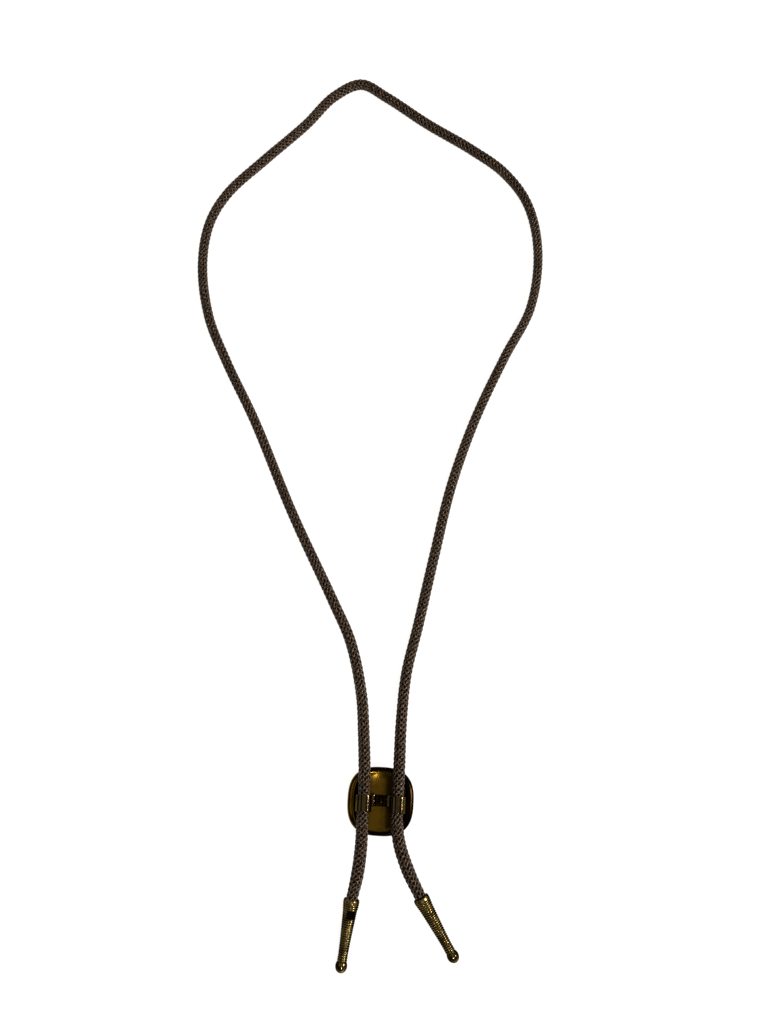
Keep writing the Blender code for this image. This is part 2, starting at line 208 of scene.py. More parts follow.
def tipAxes(mouth, s):
    # the mouth's middle, then the directions along the tip to its ball, to its side and up from it
    heading, slope = math.radians(mouth[2]), math.radians(s["tipSlope"])
    level = math.cos(slope)
    along = np.array([math.sin(heading) * level, -math.cos(heading) * level, -math.sin(slope)])
    side = np.array([math.cos(heading), math.sin(heading), 0.0])
    return np.array([mouth[0], mouth[1], s["mouthHeight"]]), along, side, np.cross(along, side)


def smoothRoute(s):
    # Catmull-Rom spans: four knots are blended in three rounds, each blend by the share of the
    # way between two knots' times, which lie the root of the knots' distance apart. Then the
    # tips' straight ends are added
    rest = s["diameter"] / 2 * cordRoute[:, 3]
    height = rest + cordRoute[:, 2] * (s["mouthHeight"] - rest)
    left, leftAlong = tipAxes(s["leftMouth"], s)[:2]
    right, rightAlong = tipAxes(s["rightMouth"], s)[:2]
    between = np.column_stack([cordRoute[:, :2], height, cordRoute[:, 3]])
    knots = np.vstack([[*left, s["swellInTip"]], between, [*right, s["swellInTip"]]])
    padded = np.vstack([2 * knots[0] - knots[1], knots, 2 * knots[-1] - knots[-2]])
    gaps = np.sqrt(np.linalg.norm(np.diff(padded[:, :3], axis=0), axis=1))
    p0, p1, p2, p3 = (padded[i:len(padded) - 3 + i, None, :3] for i in range(4))
    t1 = gaps[:-2, None, None]
    t2 = t1 + gaps[1:-1, None, None]
    t3 = t2 + gaps[2:, None, None]
    share = np.linspace(0, 1, s["spanSteps"], endpoint=False)[None, :, None]
    t = t1 + (t2 - t1) * share
    a1 = p0 + (p1 - p0) * t / t1
    a2 = p1 + (p2 - p1) * share
    a3 = p2 + (p3 - p2) * (t - t2) / (t3 - t2)
    b1 = a1 + (a2 - a1) * t / t2
    b2 = a2 + (a3 - a2) * (t - t1) / (t3 - t1)
    fine = (b1 + (b2 - b1) * share).reshape(-1, 3)
    swell = (knots[:-1, None, 3] + (knots[1:, None, 3] - knots[:-1, None, 3]) * share[..., 0]).reshape(-1)
    fine = np.vstack([left + leftAlong * s["insideTip"], fine, right, right + rightAlong * s["insideTip"]])
    swell = np.concatenate([[s["swellInTip"]], swell, [s["swellInTip"], s["swellInTip"]]])
    fine[:, 2] = np.maximum(fine[:, 2], s["diameter"] / 2 * swell)  # never under the surface
    return fine, swell


class Path:
    # a route read at any distance along it: its middle, swell, direction, side and up

    def __init__(self, points, swell, directionSteps):
        self.points, self.swell = points, swell
        self.places = distances(points)
        self.length = self.places[-1]
        self.even = np.linspace(0, self.length, directionSteps)
        self.direction = unit(np.gradient(readLine(points, self.places, self.even), axis=0))

    def at(self, place):
        middle = readLine(self.points, self.places, place)
        swell = np.interp(place, self.places, self.swell)
        along = unit(readLine(self.direction, self.even, place))
        side = unit(np.cross(along, np.array([0.0, 0.0, 1.0])))
        return middle, swell, along, side, np.cross(side, along)


cordPath = Path(*smoothRoute(cordSettings), cordSettings["directionSteps"])
print("cord route:", round(cordPath.length / mm, 1), "mm")

yarnSettings = {
    "wales": 6,  # columns of stitches round the cord
    "pitchLoose": 2.15 * mm,  # a stitch's length where the cord is relaxed and thick
    "pitchDrawn": 2.55 * mm,  # and where it is drawn out and thin
    "swellDrawn": 1.00,
    "swellLoose": 1.13,
    "countSteps": 4000,
    "firstCourse": 0.9,
    "width": 0.80 * mm,
    "depth": 0.76 * mm,
    "lean": 1.78,  # how far a stitch's legs swing to the side
    "reach": (0.60, 0.06),  # a loop's height in stitches, and how fast its head and foot turn
    "proud": 0.10 * mm,  # how far the legs stand out past the cord's mean thickness
    "dive": 0.85 * mm,  # how far its head and foot lie below its legs
    "diveSharpness": 8,
    "slowTurns": [(0.5, 0.07), (0.3, 0.031)],  # radians, and metres for a radian of the swing
    "uneven": 0.05,  # how much the stitches differ
    "thinning": 0.4,  # how much of that goes into their depth
    "seed": 11,
    "steps": 18,  # points along the yarn in one stitch
    "sides": 7,
    "pieces": 4,
    "shadeSize": 2.2 * mm,
    "strandScale": (5.0, 5 / (3 * mm), 0.0),  # round the yarn, and along it in metres
    "strandWave": 0.3183 / 2,  # at that scale a strand every 2.4 mm along the yarn
    "colors": ["#180f09", "#31251a", "#534131"],
    "roughness": (0.26, 0.38),
    "gloss": 0.34,
    "glossColor": "#ffe6cc",
}

coreSettings = {
    # near black: painted shade inside the knit
    "colors": ["#060302", "#0e0805"],
    "grain": 0.8 * mm,
    "roughness": 0.9,
    "gloss": 0.05,
}


def makeYarnMaterial(s):
    # filament polyester yarn, dyed dark brown and knitted: soft gloss along the legs, near black
    # between them. Its filaments are too fine to show, so strands are drawn much coarser
    material, tree, shader = newMaterial("brownKnittedYarn")
    uv = addNode(tree, "ShaderNodeUVMap", uv_map="surface").outputs["UV"]
    place = addNode(tree, "ShaderNodeTexCoord").outputs["Object"]
    twist = addNode(tree, "ShaderNodeMapping", {"Vector": uv, "Scale": s["strandScale"]}).outputs["Vector"]
    strands = addNode(tree, "ShaderNodeTexWave", {"Vector": twist, "Scale": s["strandWave"],
                                                  "Distortion": 1.2, "Detail": 2.0, "Detail Scale": 1.5},
                      wave_type="BANDS", bands_direction="DIAGONAL").outputs["Fac"]
    shade = addNode(tree, "ShaderNodeTexNoise", {"Vector": place, "Scale": 1 / s["shadeSize"], "Detail": 3.0,
                                                 "Roughness": 0.6}).outputs["Fac"]
    both = addNode(tree, "ShaderNodeMath", {0: shade, 1: strands}, operation="ADD").outputs["Value"]
    blend = addNode(tree, "ShaderNodeMapRange", {"Value": both, "From Min": 0.5, "From Max": 1.6})
    dark, middle, pale = [linearColor(code) for code in s["colors"]]
    color = addNode(tree, "ShaderNodeValToRGB", {"Fac": blend.outputs["Result"]},
                    [(0.0, dark), (0.5, middle), (1.0, pale)])
    rough = addNode(tree, "ShaderNodeMapRange", {"Value": shade, "From Min": 0.3, "From Max": 0.7,
                                                 "To Min": s["roughness"][0], "To Max": s["roughness"][1]})
    bump = addNode(tree, "ShaderNodeBump", {"Height": strands, "Strength": 0.6, "Distance": 0.06 * mm})
    tree.links.new(color.outputs["Color"], shader.inputs["Base Color"])
    tree.links.new(rough.outputs["Result"], shader.inputs["Roughness"])
    tree.links.new(bump.outputs["Normal"], shader.inputs["Normal"])
    shader.inputs["Specular IOR Level"].default_value = s["gloss"]
    shader.inputs["Specular Tint"].default_value = linearColor(s["glossColor"])
    return material


def makeCoreMaterial(s):
    # the inside of the knitted tube, matte; its near-black colour is painted shade, as hardly any light gets
    # there
    material, tree, shader = newMaterial("darkInsideOfKnit")
    place = addNode(tree, "ShaderNodeTexCoord").outputs["Object"]
    shade = addNode(tree, "ShaderNodeTexNoise", {"Vector": place, "Scale": 1 / s["grain"], "Detail": 2.0})
    dark, pale = [linearColor(code) for code in s["colors"]]
    color = addNode(tree, "ShaderNodeValToRGB", {"Fac": shade.outputs["Fac"]}, [(0.35, dark), (0.7, pale)])
    bump = addNode(tree, "ShaderNodeBump", {"Height": shade.outputs["Fac"], "Strength": 0.5,
                                            "Distance": 0.1 * mm})
    tree.links.new(color.outputs["Color"], shader.inputs["Base Color"])
    tree.links.new(bump.outputs["Normal"], shader.inputs["Normal"])
    shader.inputs["Roughness"].default_value = s["roughness"]
    shader.inputs["Specular IOR Level"].default_value = s["gloss"]
    return material


def makeCore(s, path, material):
    # rings round the route: the side times the cosine of the angle and the up times its sine,
    # both times the core's share of the cord's radius
    place = np.linspace(0, path.length, s["coreRings"])
    middle, swell, along, side, up = path.at(place)
    angle = np.linspace(0, 2 * np.pi, s["coreSides"], endpoint=False)[:, None]
    radius = (s["diameter"] / 2 * swell * s["coreShare"])[:, None, None]
    ring = -side[:, None] * np.cos(angle) + up[:, None] * np.sin(angle)
    piece = gridMesh("cord_core", middle[:, None] + ring * radius, material, along=place)
    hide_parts("cord")
    return piece, middle


def countCourses(s, path):
    # how many courses of stitches lie before each place: the sum of the steps along the route,
    # each divided by the pitch there
    place = np.linspace(0, path.length, s["countSteps"])
    swell = np.interp(place, path.places, path.swell)
    loose = smoothStep(swell, s["swellDrawn"], s["swellLoose"])
    pitch = s["pitchDrawn"] + (s["pitchLoose"] - s["pitchDrawn"]) * loose
    courses = np.concatenate([[0], np.cumsum(np.diff(place) / ((pitch[1:] + pitch[:-1]) / 2))])
    return place, courses


def makeJacket(s, cord, path, material):
    # one yarn winds round the cord, and t goes up by a full turn for each stitch. Its angle is t
    # plus the lean times the sine of 2t, divided by the wales. Along the cord it swings by the
    # reaches times the cosines of t and 3t. It lies its own half depth below the cord's surface,
    # less what it stands proud, and the dive times a high power of the cosine of t deeper. An
    # oval is carried along it
    place, courses = countCourses(s, path)
    total = math.floor(courses[-1]) - 1
    stitches = total * s["wales"]
    wave = np.random.default_rng(s["seed"]).normal(0, s["uneven"], (3, stitches + 1))
    edges = np.linspace(0, stitches, s["pieces"] + 1).astype(int)
    turn = np.linspace(0, 2 * np.pi, s["sides"], endpoint=False)[None, :, None]
    pieces = []
    for number, (first, last) in enumerate(zip(edges[:-1], edges[1:]), 1):
        t = 2 * np.pi * np.linspace(first, last, (last - first) * s["steps"] + 1)
        sway, slip, thin = [np.interp(t / (2 * np.pi), np.arange(stitches + 1), row) for row in wave]
        course = s["firstCourse"] + t / (2 * np.pi * s["wales"])
        course = course + s["reach"][0] * np.cos(t) + s["reach"][1] * np.cos(3 * t) + slip
        at = np.interp(course, courses, place)
        middle, swell, along, side, up = path.at(at)
        angle = (t + s["lean"] * (1 + sway) * np.sin(2 * t)) / s["wales"]
        angle = angle + sum(size * np.sin(at / reach) for size, reach in s["slowTurns"])
        outward = -side * np.cos(angle)[:, None] + up * np.sin(angle)[:, None]
        sunk = s["depth"] / 2 * (1 + s["thinning"] * np.abs(thin))
        outer = cord["diameter"] / 2 * swell + s["proud"] - sunk
        line = middle + outward * (outer - s["dive"] * np.cos(t) ** s["diveSharpness"])[:, None]
        run = unit(np.gradient(line, axis=0))
        wide = unit(np.cross(run, outward))
        high = np.cross(wide, run)
        ring = wide[:, None] * np.cos(turn) * s["width"] / 2 + high[:, None] * np.sin(turn) * s["depth"] / 2
        points = line[:, None] + ring
        points[..., 2] = np.maximum(points[..., 2], 0)  # pressed flat where it lies
        piece = gridMesh("cord_knit_%d" % number, points, material, along=distances(line))
        pieces.append(piece)
    print("knit:", total, "courses of", s["wales"], "stitches")
    return pieces


yarnMaterial = makeYarnMaterial(yarnSettings)
core, coreLine = makeCore(cordSettings, cordPath, makeCoreMaterial(coreSettings))
jacket = makeJacket(yarnSettings, cordSettings, cordPath, yarnMaterial)
print("cord made")


# Brass, used on the slide, the clip and the tips

def makeBrass(name, s):
    # yellow brass, darkened and relieved: the recesses keep their brown oxide, the high places
    # are polished. The per-point attribute darkens a place, for real oxide or for painted shade,
    # and brightens it below 0
    material, tree, shader = newMaterial(name)
    place = addNode(tree, "ShaderNodeTexCoord").outputs["Object"]
    oxideAndShade = addNode(tree, "ShaderNodeAttribute", attribute_name="oxideAndShade").outputs["Fac"]
    blotches = addNode(tree, "ShaderNodeTexNoise", {"Vector": place, "Scale": 1 / s["blotch"], "Detail": 4.0,
                                                    "Roughness": 0.6}).outputs["Fac"]
    # polishing lines, drawn 0.15 mm apart so that they show
    lines = addNode(tree, "ShaderNodeMapping", {"Vector": place, "Rotation": (0.0, 0.0, s["lineTurn"]),
                                                "Scale": (1 / (0.15 * mm), 1 / (4 * mm), 1 / (0.6 * mm))})
    polish = addNode(tree, "ShaderNodeTexNoise", {"Vector": lines.outputs["Vector"], "Scale": 1.0, "Detail": 3.0,
                                                  "Roughness": 0.7}).outputs["Fac"]
    patches = addNode(tree, "ShaderNodeMapRange", {"Value": blotches, "From Min": 0.3, "From Max": 0.7,
                                                   "To Min": -0.25, "To Max": 0.35}).outputs["Result"]
    dark = addNode(tree, "ShaderNodeMath", {0: patches, 1: oxideAndShade},
                   operation="ADD", use_clamp=True).outputs["Value"]
    bright, middle, oxide = [linearColor(code) for code in s["colors"]]
    color = addNode(tree, "ShaderNodeValToRGB", {"Fac": dark}, [(0.0, bright), (0.45, middle), (1.0, oxide)])
    smooth, coarse = s["rough"]
    sheen = addNode(tree, "ShaderNodeMapRange", {"Value": polish, "From Min": 0.3, "From Max": 0.7,
                                                 "To Min": smooth, "To Max": coarse}).outputs["Result"]
    dull = addNode(tree, "ShaderNodeMapRange", {"Value": dark, "To Max": s["dull"]}).outputs["Result"]
    rough = addNode(tree, "ShaderNodeMath", {0: sheen, 1: dull}, operation="ADD")
    scratches = addNode(tree, "ShaderNodeBump", {"Height": polish, "Strength": s["scratch"],
                                                 "Distance": 0.01 * mm})
    dents = addNode(tree, "ShaderNodeBump", {"Height": blotches, "Strength": s["dent"], "Distance": 0.12 * mm,
                                             "Normal": scratches.outputs["Normal"]})
    tree.links.new(color.outputs["Color"], shader.inputs["Base Color"])
    tree.links.new(rough.outputs["Value"], shader.inputs["Roughness"])
    tree.links.new(dents.outputs["Normal"], shader.inputs["Normal"])
    shader.inputs["Metallic"].default_value = 1.0
    shader.inputs["Specular Tint"].default_value = linearColor("#bcb6aa")  # oxide keeps the edges dark
    return material


# Slide: the stamped shell, hollow side up, and the post that is soldered to it

slideSettings = {
    "width": 29.4 * mm,
    "height": 29.6 * mm,
    "depth": 4.0 * mm,
    "wall": 0.8 * mm,
    "cushion": 2.7,  # the outline: 2 is an oval, more is squarer
    "floorCushion": 2.0,  # the hollow's level lines, out to floorReach
    "floorReach": 11.2 * mm,
    "cushionReach": 12.9 * mm,  # from here out they follow the outline
    "panelShare": 0.48,  # how far out the flat front panel reaches
    "panelRows": 14,
    "rise": 2.2,  # the front's section: 2 is an oval, more is squarer
    "riseRows": 34,
    "lipStart": 2.5 * mm,  # the height at which the rim begins to turn in
    "lipWidth": 1.6 * mm,  # how far it turns in over the hollow
    "lipProud": 0.1 * mm,
    "lipEdge": 0.25 * mm,  # its inner edge is rounded to this radius
    "hollowStretch": (-0.075, 0.04),  # the lip is broader at the sides than at the top and bottom
    "bowlRadius": 36 * mm,  # the hollow side is dished to this radius
    "stepWidth": 0.2 * mm,  # how fast the bowl climbs to the lip
    "columns": 192,
    "cornerGrime": (0.6, 0.5 * mm),  # under the lip, and how fast it fades
    "lipShade": (1.1, 0.05),  # painted shade on the lip, and the little left of it at the lip's left
    "lessShadeFrom": 5 * mm,  # the painted shade fades from here to the next distance, left of the middle
    "lessShadeTo": 11 * mm,
    "post": {
        "place": (0.0, 0.3 * mm),
        "radius": 0.8 * mm,
        "foot": 0.48 * mm,
        "headRadius": 1.4 * mm,
        "headBottom": 2.1 * mm,
        "headHeight": 0.7 * mm,
        "edgeShare": 0.25,  # the part of the head's height that is its upright edge
        "domePower": 0.7,
        "flats": [(0.03, 3, 0.6), (0.02, 5, 2.0)],  # size, how many, and turned by how much
        "oxideAndShade": (0.85, 0.4),  # painted shade on the head, and how much more on the shank
        "columns": 40,
        "rows": 12,
    },
}


def shellSection(s):
    # outside, distance and height follow an oval raised to a power, then a quarter oval turns in
    # to the lip's rounded edge. Inside, the height is the wall plus the squared distance over
    # twice the bowl's radius, and it climbs steeply within a fraction of a millimetre of the lip
    half = s["width"] / 2
    panel = np.linspace(0.02, 0.97, s["panelRows"]) * (s["panelShare"] * half)
    quarter = np.linspace(0, np.pi / 2, s["riseRows"])
    share = s["panelShare"] + (1 - s["panelShare"]) * np.sin(quarter) ** (2 / s["rise"])
    height = s["lipStart"] * (1 - np.cos(quarter) ** (2 / s["rise"]))
    front = np.stack([panel, np.zeros(len(panel))], axis=-1)
    outer = np.vstack([front, np.stack([share * half, height], axis=-1)])
    top, edge, lipIn = s["depth"] + s["lipProud"], s["lipEdge"], half - s["lipWidth"]
    turn = np.linspace(0, np.pi / 2, 13)[1:]
    roll = np.linspace(0, np.pi / 2, 5)[1:]
    lip = np.vstack([
        np.stack([lipIn + s["lipWidth"] * np.cos(turn),
                  s["lipStart"] + (top - s["lipStart"]) * np.sin(turn)], axis=-1),
        np.stack([lipIn - edge * np.sin(roll), top - edge * (1 - np.cos(roll))], axis=-1),
    ])
    inside = lipIn - edge - 0.01 * mm
    inward = np.concatenate([np.linspace(0, 1.2 * mm, 12), np.linspace(1.5 * mm, inside * 0.98, 40)])
    radius = inside - inward
    bowl = s["wall"] + radius ** 2 / (2 * s["bowlRadius"])
    climb = top - edge - 0.05 * mm - bowl[0]
    inner = np.stack([radius, bowl + climb * np.exp((radius - inside) / s["stepWidth"])], axis=-1)
    part = np.repeat([0, 1, 2], [len(outer), len(lip), len(inner)])
    return np.vstack([outer, lip, inner]), part, inside


def makeShell(s, material):
    # the section is carried round an outline whose radius is the sum of the cosine and the sine
    # of the angle, each without its sign and raised to the power cushion, all to the power of
    # minus 1 over cushion. It is scaled by the slide's width and height
    section, part, inside = shellSection(s)
    onLip, inHollow = part == 1, part == 2
    reach = section[:, 0]
    angle = np.linspace(0, 2 * np.pi, s["columns"], endpoint=False)
    floorShare = (1 - smoothStep(reach, s["floorReach"], s["cushionReach"])) * inHollow
    power = (s["cushion"] - (s["cushion"] - s["floorCushion"]) * floorShare)[:, None]
    outline = (np.abs(np.cos(angle)) ** power + np.abs(np.sin(angle)) ** power) ** (-1 / power)
    turnedIn = np.clip((s["width"] / 2 - reach) / s["lipWidth"], 0, 1) * (onLip | inHollow)
    reachX, reachY = ((reach * (1 + stretch * turnedIn))[:, None] for stretch in s["hollowStretch"])
    x = reachX * outline * np.cos(angle)
    y = reachY * outline * np.sin(angle) * s["height"] / s["width"]
    z = np.broadcast_to(section[:, None, 1], x.shape)
    # oxide stays in the corner under the lip; the lip itself gets painted shade, which fades out towards its
    # left
    amount, fade = s["cornerGrime"]
    corner = (amount * np.exp((reach - inside) / fade) * inHollow)[:, None]
    dark, leftShade = s["lipShade"]
    oxideAndShade = corner + onLip[:, None] * (dark - (dark - leftShade) * smoothStep(-x, s["lessShadeFrom"], s["lessShadeTo"]))
    piece = gridMesh("slide_dish", np.stack([x, y, z], axis=-1), material, oxideAndShade=oxideAndShade)
    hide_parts("slide_shell")
    return piece


def makePost(s, material):
    # a shank up from the floor, then a peened head with an upright edge: its radius falls as a
    # power of the dome angle's cosine, its height grows as the sine. Its outline has a few flats
    neck, edge = s["headBottom"], s["edgeShare"] * s["headHeight"]
    dome = np.linspace(0, np.pi / 2, s["rows"])[1:-1]
    radius = np.concatenate([[s["radius"], s["radius"], s["headRadius"] * 0.97, s["headRadius"]],
                             s["headRadius"] * np.cos(dome) ** s["domePower"]])
    height = np.concatenate([[s["foot"], neck, neck, neck + edge],
                             neck + edge + (s["headHeight"] - edge) * np.sin(dome)])
    angle = np.linspace(0, 2 * np.pi, s["columns"], endpoint=False)
    flats = 1 + sum(size * np.cos(count * angle + turn) for size, count, turn in s["flats"])
    x, y = radius[:, None] * np.cos(angle) * flats, radius[:, None] * np.sin(angle) * flats
    z = np.broadcast_to(height[:, None], x.shape)
    # painted shade over the post, deeper on the shank under its head
    onHead, more = s["oxideAndShade"]
    oxideAndShade = np.broadcast_to(onHead + more * smoothStep(-height, -neck - edge, -neck)[:, None], x.shape)
    points = np.stack([x + s["place"][0], y + s["place"][1], z], axis=-1)
    piece = gridMesh("slide_post", points, material, oxideAndShade=oxideAndShade)
    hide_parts("slide_shell")
    return piece


shellBrass = makeBrass("stampedAgedBrass", {
    "colors": ["#604610", "#422d08", "#120a03"], "blotch": 5 * mm, "lineTurn": 0.2,
    "rough": (0.10, 0.16), "dull": 0.06, "scratch": 0.25, "dent": 0.15})
makeShell(slideSettings, shellBrass)
makePost(slideSettings["post"], shellBrass)
print("slide made")


# Clip: one strip with a sleeve rolled at each end and a channel pressed between them

clipSettings = {
    "sheet": 0.7 * mm,
    "spacing": 15.0 * mm,
    "sleeveRadius": 3.247 * mm,
    "sleeveHeight": 6.997 * mm,
    "wrap": 305.0,  # degrees
    "squareness": 2.6,  # 2 is round: pressing them on the cord has flattened the sleeves a little
    "sleeveLength": 7.1 * mm,
    "sleeveMiddle": -1.2 * mm,
    "bridgeLength": 5.0 * mm,
    "bridgeMiddle": 0.3 * mm,
    "channelWidth": 4.7 * mm,
    "channelHeight": 1.45 * mm,
    "bend": 0.7 * mm,
    "edge": 0.22 * mm,
    "flareShare": 0.85,  # the bridge widens at this share of the radius inward of the sleeve's middle
    "flareFrom": -0.5 * mm,  # and does so between these two distances from there
    "flareTo": 0.3 * mm,
    "sleeveRise": 0.2 * mm,  # higher than this above the bridge it is all sleeve
    "step": 0.16 * mm,
    "bendSteps": 8,
    "sleeveSteps": 64,
    "cornerPoints": 5,
    "flatPoints": 10,
    "endLength": 0.3 * mm,  # the strip's ends are rounded over this length
    "endThickness": 0.12,
    # darker on the inner face inside the sleeves and in the channel between them
    "insideDarkening": 0.45,
    "channelDarkening": 0.8,
    "edgeWear": 0.35,
}


def arcPoints(x, z, radius, start, end, steps, squareness=2.0):
    # points along an arc in the XZ plane, its first point left out: x and z plus the radius times
    # the cosine and the sine, each without its sign raised to 2 over squareness and signed again
    angle = np.linspace(start, end, steps + 1)[1:]
    level, rise = np.cos(angle), np.sin(angle)
    return np.stack([x + radius * np.sign(level) * np.abs(level) ** (2 / squareness),
                     z + radius * np.sign(rise) * np.abs(rise) ** (2 / squareness)], axis=-1)


def clipLine(s, bridgeHeight):
    # the strip's middle in the XZ plane, in even steps: out along the channel's floor, up its
    # wall, along the bridge and round the sleeve, and the same mirrored on the other side
    wall = s["channelWidth"] / 2 + s["sheet"] / 2
    bend, quarter = s["bend"], np.pi / 2
    half = np.vstack([
        [(0.0, s["channelHeight"])],
        arcPoints(wall - bend, s["channelHeight"] + bend, bend, -quarter, 0, s["bendSteps"]),
        arcPoints(wall + bend, bridgeHeight - bend, bend, np.pi, quarter, s["bendSteps"]),
        [(s["spacing"] / 2, bridgeHeight)],
        arcPoints(s["spacing"] / 2, s["sleeveHeight"], s["sleeveRadius"], -quarter,
                  -quarter + math.radians(s["wrap"]), s["sleeveSteps"], s["squareness"]),
    ])
    places = distances(half)
    half = readLine(half, places, np.linspace(0, places[-1], int(round(places[-1] / s["step"])) + 1))
    return np.vstack([half[::-1] * (-1, 1), half[1:]])


def stripRing(s):
    # once round the strip: the share of its half width, what a rounded corner takes off that,
    # and the distance from its middle along the normal
    corner = np.linspace(0, np.pi / 2, s["cornerPoints"])
    flat = np.linspace(-1, 1, s["flatPoints"] + 2)[1:-1]
    thick, edge = s["sheet"] / 2, s["edge"]
    share, cut, offset = [], [], []
    corners = ((1, 1, corner[::-1]), (1, -1, corner), (-1, -1, corner[::-1]), (-1, 1, corner))
    for signY, signN, turn in corners:
        share.append(np.full(len(turn), signY))
        cut.append(signY * (np.cos(turn) - 1) * edge)
        offset.append(signN * (thick - edge + edge * np.sin(turn)))
        if signN == -signY:  # the flat face up to the next corner
            share.append(flat * -signY)
            cut.append(np.zeros(len(flat)))
            offset.append(np.full(len(flat), signN * thick))
    return np.concatenate(share), np.concatenate(cut), np.concatenate(offset)


def makeClip(s, material):
    # the ring is carried along the middle line: x and z are the line plus the normal times the
    # ring's offset, y is the strip's middle plus the ring's share of half its length in Y. That
    # middle and length blend from the bridge's to the sleeve's
    bridgeHeight = s["sleeveHeight"] - s["sleeveRadius"]
    line = clipLine(s, bridgeHeight)
    run = np.gradient(line, axis=0)
    normal = unit(np.stack([-run[:, 1], run[:, 0]], axis=-1))
    flare = s["spacing"] / 2 - s["sleeveRadius"] * s["flareShare"]
    out = smoothStep(np.abs(line[:, 0]), flare + s["flareFrom"], flare + s["flareTo"])
    out = np.where(line[:, 1] > bridgeHeight + s["sleeveRise"], 1.0, out)[:, None]
    length = s["bridgeLength"] + (s["sleeveLength"] - s["bridgeLength"]) * out
    middle = s["bridgeMiddle"] + (s["sleeveMiddle"] - s["bridgeMiddle"]) * out
    share, cut, offset = stripRing(s)
    fromEnd = np.minimum(np.arange(len(line)), np.arange(len(line))[::-1]) * s["step"]
    flatness = 1 - np.clip(fromEnd / s["endLength"], 0, 1)
    thin = np.sqrt(np.clip(1 - flatness ** 2, s["endThickness"], 1))
    offset = offset * thin[:, None]
    x = line[:, None, 0] + normal[:, None, 0] * offset
    y = middle + (share * (length / 2) + cut)
    z = line[:, None, 1] + normal[:, None, 1] * offset
    innerFace = offset > 0
    inSleeve = np.abs(line[:, None, 0]) > s["channelWidth"] * 0.8
    inChannel = smoothStep(-line[:, None, 1], -bridgeHeight, -s["channelHeight"])
    # darker on the inner face inside the sleeves and down in the channel
    oxideAndShade = s["insideDarkening"] * inSleeve * innerFace + s["channelDarkening"] * inChannel * innerFace
    oxideAndShade = oxideAndShade - s["edgeWear"] * (np.abs(share) == 1)
    piece = gridMesh("clip_strip", np.stack([x, y, z], axis=-1), material, oxideAndShade=oxideAndShade)
    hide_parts("cord_clip")
    return piece


makeClip(clipSettings, makeBrass("rolledAgedBrass", {
    "colors": ["#4a3c24", "#281c10", "#090503"], "blotch": 3 * mm, "lineTurn": 0.0,
    "rough": (0.08, 0.13), "dull": 0.06, "scratch": 0.2, "dent": 0.12}))
print("clip made")


# Tips: tapered and ribbed, with a ball, and a square crimp on the left one

tipSettings = {
    "length": 31.0 * mm,
    "mouthRadius": 3.5 * mm,
    "ballRadius": 2.58 * mm,
    "ballHalf": 3.0 * mm,  # half the ball's length along the tip
    "ballRows": 30,
    "boreRadius": 2.95 * mm,
    "boreDepth": 3.6 * mm,
    "rimHeight": 0.3 * mm,
    "rimRows": 6,
    "ribs": 25,
    "ribRows": 9,
    "ribsFrom": 0.050,
    "ribsTo": 0.835,
    "ribDepth": 0.28 * mm,
    "ribProud": 0.14 * mm,  # how far the ribs stand out past the tip's mean outline
    "columns": 96,
    "crimpStart": 4.2 * mm,
    "crimpLength": 3.7 * mm,
    "crimpWidth": 3.7 * mm,
    "crimpDepth": 0.6 * mm,
    "crimpTurn": 16.0,  # degrees round the tip from its top
    "crimpSoftness": 0.12 * mm,
    "boreDarkening": 0.9,
    "grooveGrime": 0.6,
    "ballGrime": 0.3,
    # painted shade on the tips' sides and underside
    "sideShade": 0.8,
    "crimpGrime": 1.3,
}

# share of the length from the mouth, share of the mouth's radius
tipOutline = np.array([(0.000, 0.940), (0.012, 0.980), (0.035, 1.000), (0.100, 0.940), (0.165, 0.860),
                       (0.360, 0.757), (0.590, 0.636), (0.760, 0.583), (0.800, 0.600), (0.860, 0.675)])


